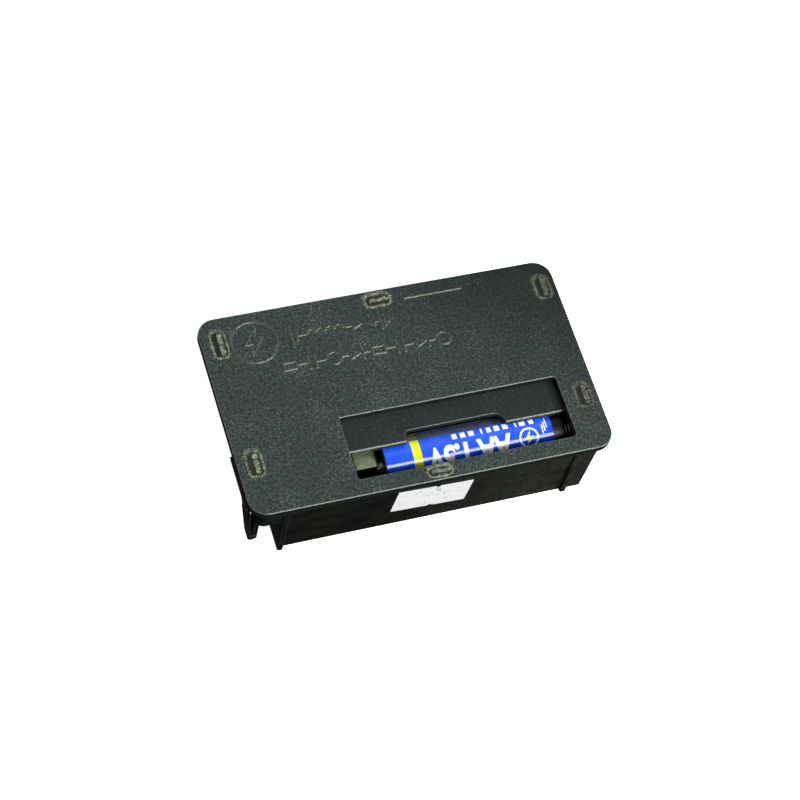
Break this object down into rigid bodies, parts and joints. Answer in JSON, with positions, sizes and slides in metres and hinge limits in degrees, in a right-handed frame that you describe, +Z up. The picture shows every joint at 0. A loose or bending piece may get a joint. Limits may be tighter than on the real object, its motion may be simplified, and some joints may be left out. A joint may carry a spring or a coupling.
{
  "type": "battery spark igniter",
  "caption": "Shallow black plastic case with a staked lid, sliding battery cover over an AA cell, side snap latch, label, and spark-ignition circuit inside.",
  "frame": {"origin": "centre of the lid's outline, projected down to the flat base the case stands on", "axes": "+X along the cell towards its flat end, +Y from the battery side to the back, +Z up out of the lid"},
  "size_m": [0.0983, 0.058, 0.0242],
  "materials": {
    "case_plastic": "fine-grained black ABS moulding",
    "melted_plastic": "heat-staked ABS, rough and greyed",
    "contact_metal": "nickel-plated spring strip",
    "spring_steel": "bright drawn spring wire",
    "label_paper": "white paper price label",
    "board_laminate": "phenolic paper laminate",
    "ferrite": "sintered ferrite",
    "former_plastic": "natural nylon former",
    "copper_wire": "enamelled copper winding",
    "film_box": "cast red film capacitor box",
    "can_sleeve": "shrink-sleeved aluminium can",
    "epoxy_black": "moulded epoxy",
    "resistor_body": "lacquered carbon film resistor",
    "band_grey": "printed band",
    "terminal_brass": "stamped brass blade",
    "lead_red": "PVC insulation",
    "lead_black": "PVC insulation",
    "lead_white": "silicone insulation",
    "cell_steel": "nickel-plated steel",
    "cell_print": "printed glossy blue film sleeve",
    "cell_mix": "zinc and manganese dioxide filling",
    "cell_dark_band": "black shrink film edge"
  },
  "bodies": {
    "housing": {"housing_tub": "case_plastic", "lid_plate": "case_plastic", "heat_stakes": "melted_plastic", "cover_guide_left": "case_plastic", "cover_guide_right": "case_plastic", "cell_cradle": "case_plastic", "positive_contact": "contact_metal", "contact_post": "case_plastic", "negative_spring": "spring_steel", "negative_contact": "contact_metal", "front_label": "label_paper", "circuit_board": "board_laminate", "board_screws": "spring_steel", "spark_coil_core": "ferrite", "spark_coil_former": "former_plastic", "spark_coil_primary": "copper_wire", "spark_coil_secondary": "copper_wire", "converter_core_lower": "ferrite", "converter_core_upper": "ferrite", "converter_former": "former_plastic", "converter_winding": "copper_wire", "converter_base": "former_plastic", "storage_capacitor": "film_box", "smoothing_capacitor": "can_sleeve", "switching_transistor": "epoxy_black", "trigger_thyristor": "epoxy_black", "semiconductor_leads": "contact_metal", "resistors": "resistor_body", "rectifier_diodes": "epoxy_black", "diode_bands": "band_grey", "filter_choke": "ferrite", "switch_terminals": "terminal_brass", "earth_terminal": "terminal_brass", "electrode_terminal": "terminal_brass", "positive_lead": "lead_red", "negative_lead": "lead_black", "electrode_lead": "lead_white"},
    "cover": {"battery_cover": "case_plastic"},
    "latch": {"side_latch": "case_plastic"},
    "cell": {"cell_can": "cell_steel", "cell_sleeve": "cell_print", "cell_positive_cap": "cell_steel", "cell_insulating_ring": "case_plastic", "cell_filling": "cell_mix", "cell_negative_cap": "cell_steel", "cell_end_band": "cell_dark_band"}
  },
  "joints": [
    {"name": "cover_slide", "type": "slide", "parent": "housing", "child": "cover", "axis": [0, 1, 0], "range_m": [-0.009, 0.0092]},
    {"name": "latch_flex", "type": "hinge", "parent": "housing", "child": "latch", "pos_m": [-0.0457, -0.01775, 0.0061], "axis": [0, 1, 0], "range_deg": [0, 3.2], "stiffness_Nm_per_rad": 0.15},
    {"name": "cell_push", "type": "slide", "parent": "housing", "child": "cell", "axis": [1, 0, 0], "range_m": [0, 0.001], "stiffness_N_per_m": 900, "springref_m": -0.002, "deforming": ["negative_spring"]}
  ]
}
